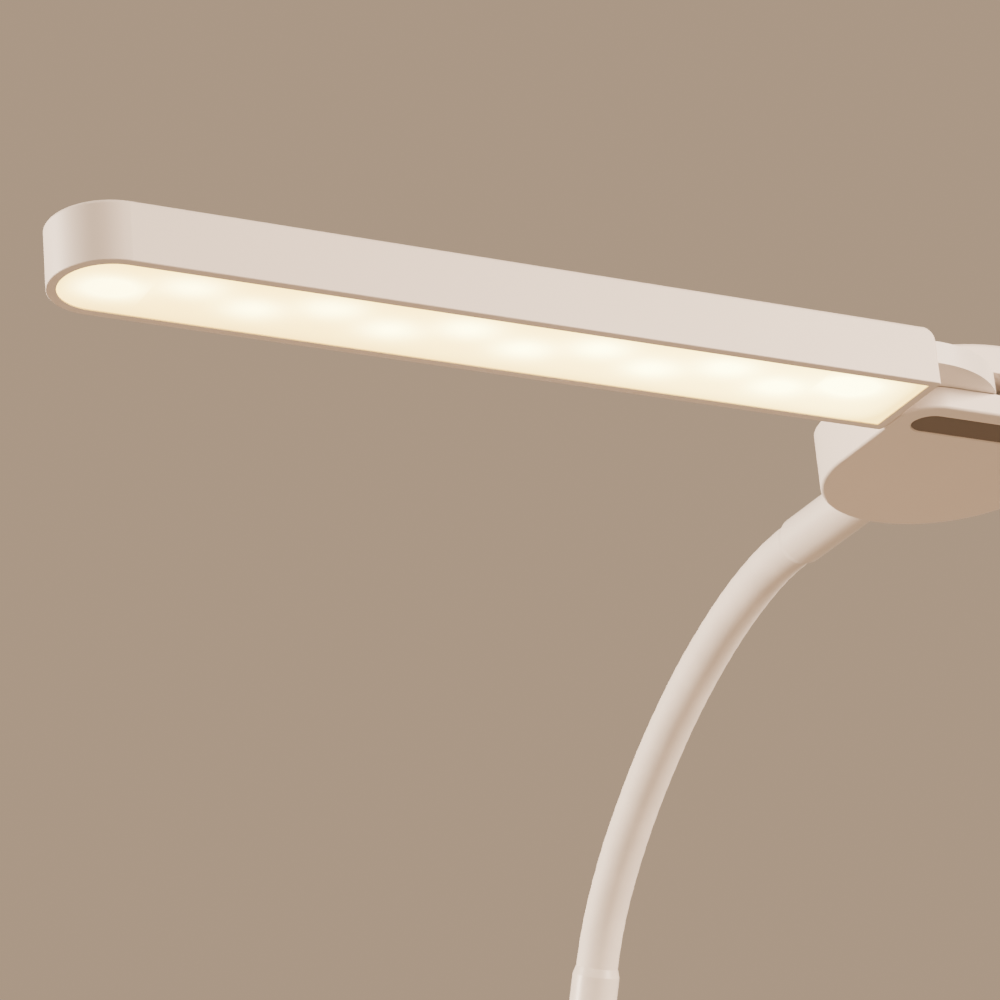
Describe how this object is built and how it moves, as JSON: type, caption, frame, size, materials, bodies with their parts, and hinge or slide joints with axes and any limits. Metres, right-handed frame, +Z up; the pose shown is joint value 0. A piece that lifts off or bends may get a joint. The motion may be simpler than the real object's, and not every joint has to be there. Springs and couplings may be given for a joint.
{
  "type": "clip on reading lamp",
  "caption": "Clip-on LED reading lamp: slim light bar that swings on a rounded head, sleeved gooseneck, and a sprung clip with soft pads and a charging inlet.",
  "frame": {"origin": "centre of the upper jaw pad's face, which bears on the shelf or board that the lamp is clipped to", "axes": "+Z up, out of the clip's cover; -Y the way the jaws open and the lamp reaches; -X the way the light bar reaches from its head; x = 0 is the middle plane of clip, neck and head"},
  "size_m": [0.3054, 0.3288, 0.1985],
  "materials": {
    "cream_casing": "satin",
    "cream_buttons": "satin",
    "neck_sleeve": "matte silicone",
    "cream_paint": "satin",
    "grey_tongue": "painted satin",
    "opal_diffuser": "opal satin",
    "led_chip": "phosphor",
    "circuit_board": "white solder mask",
    "green_board": "green solder mask",
    "plain_aluminium": "rolled",
    "steel_fasteners": "zinc plated",
    "neck_links": "turned",
    "bronze_bush": "sintered",
    "smoked_window": "polished smoked",
    "switch_metal": "stamped",
    "pad_rubber": "matte",
    "battery_wrap": "foil",
    "clear_light_pipe": "polished"
  },
  "bodies": {
    "clip": {"clip_base": "cream_casing", "clip_cover": "cream_casing", "clip_screws": "steel_fasteners", "clip_hinge_pin": "steel_fasteners", "clip_pin_ring": "steel_fasteners", "clip_spring": "steel_fasteners", "upper_jaw_pad": "pad_rubber", "battery_cell": "battery_wrap", "charge_board": "green_board", "usb_c_inlet": "switch_metal", "charge_light_pipe": "clear_light_pipe", "lower_ferrule": "cream_paint", "lower_ferrule_nut": "steel_fasteners", "neck_hose_1": "neck_links", "neck_sleeve_1": "neck_sleeve"},
    "lower_jaw": {"clip_lower_jaw": "cream_casing", "lower_jaw_pad": "pad_rubber", "handle_grip": "pad_rubber"},
    "neck_link_2": {"neck_hose_2": "neck_links", "neck_sleeve_2": "neck_sleeve"},
    "neck_link_3": {"neck_hose_3": "neck_links", "neck_sleeve_3": "neck_sleeve"},
    "neck_link_4": {"neck_hose_4": "neck_links", "neck_sleeve_4": "neck_sleeve"},
    "neck_link_5": {"neck_hose_5": "neck_links", "neck_sleeve_5": "neck_sleeve"},
    "neck_link_6": {"neck_hose_6": "neck_links", "neck_sleeve_6": "neck_sleeve"},
    "neck_link_7": {"neck_hose_7": "neck_links", "neck_sleeve_7": "neck_sleeve"},
    "head": {"neck_hose_8": "neck_links", "neck_sleeve_8": "neck_sleeve", "upper_ferrule": "cream_paint", "upper_ferrule_nut": "steel_fasteners", "housing_lower_tray": "cream_casing", "housing_upper_shell": "cream_casing", "housing_screw": "steel_fasteners", "hinge_pin": "steel_fasteners", "hinge_friction_washers": "steel_fasteners", "sensor_window": "smoked_window", "sensor_board": "green_board", "control_board": "green_board", "control_board_screws": "steel_fasteners", "button_switches": "switch_metal"},
    "light_bar": {"bar_housing": "cream_casing", "bar_diffuser": "opal_diffuser", "bar_heat_plate": "plain_aluminium", "led_board": "circuit_board", "led_chips": "led_chip", "led_board_screws": "steel_fasteners", "hinge_tongue": "grey_tongue", "tongue_screws": "steel_fasteners", "hinge_bush": "bronze_bush"},
    "power_button": {"power_button": "cream_buttons"},
    "dimmer_button": {"dimmer_button": "cream_buttons"}
  },
  "joints": [
    {"name": "clip_jaw", "type": "hinge", "parent": "clip", "child": "lower_jaw", "pos_m": [0, 0.04, -0.0055], "axis": [1, 0, 0], "range_deg": [0, 32], "stiffness_Nm_per_rad": 0.6, "springref_deg": -68.75, "deforming": ["clip_spring"]},
    {"name": "neck_1_pitch", "type": "hinge", "parent": "clip", "child": "neck_link_2", "pos_m": [0, 0.01405, 0.07593], "axis": [1, 0, 0], "range_deg": [-12, 15]},
    {"name": "neck_2_sideways", "type": "hinge", "parent": "neck_link_2", "child": "neck_link_3", "pos_m": [0, -0.00026, 0.09114], "axis": [0, 0.6756, 0.7373], "range_deg": [-15, 15]},
    {"name": "neck_3_pitch", "type": "hinge", "parent": "neck_link_3", "child": "neck_link_4", "pos_m": [0, -0.01632, 0.1045], "axis": [1, 0, 0], "range_deg": [-12, 15]},
    {"name": "neck_4_sideways", "type": "hinge", "parent": "neck_link_4", "child": "neck_link_5", "pos_m": [0, -0.03354, 0.11633], "axis": [0, 0.5299, 0.848], "range_deg": [-15, 15]},
    {"name": "neck_5_pitch", "type": "hinge", "parent": "neck_link_5", "child": "neck_link_6", "pos_m": [0, -0.05181, 0.12646], "axis": [1, 0, 0], "range_deg": [-12, 15]},
    {"name": "neck_6_sideways", "type": "hinge", "parent": "neck_link_6", "child": "neck_link_7", "pos_m": [0, -0.07104, 0.13463], "axis": [0, 0.342, 0.9397], "range_deg": [-15, 15]},
    {"name": "neck_7_pitch", "type": "hinge", "parent": "neck_link_7", "child": "head", "pos_m": [0, -0.09112, 0.14038], "axis": [1, 0, 0], "range_deg": [-12, 15]},
    {"name": "bar_swing", "type": "hinge", "parent": "head", "child": "light_bar", "pos_m": [-0.022, -0.21376, 0.14126], "axis": [0, 0, 1], "range_deg": [0, 90]},
    {"name": "power_button_press", "type": "slide", "parent": "head", "child": "power_button", "axis": [0, 0, -1], "range_m": [0, 0.0006], "stiffness_N_per_m": 1500, "springref_m": -0.0008},
    {"name": "dimmer_button_press", "type": "slide", "parent": "head", "child": "dimmer_button", "axis": [0, 0, -1], "range_m": [0, 0.0006], "stiffness_N_per_m": 1500, "springref_m": -0.0008}
  ]
}
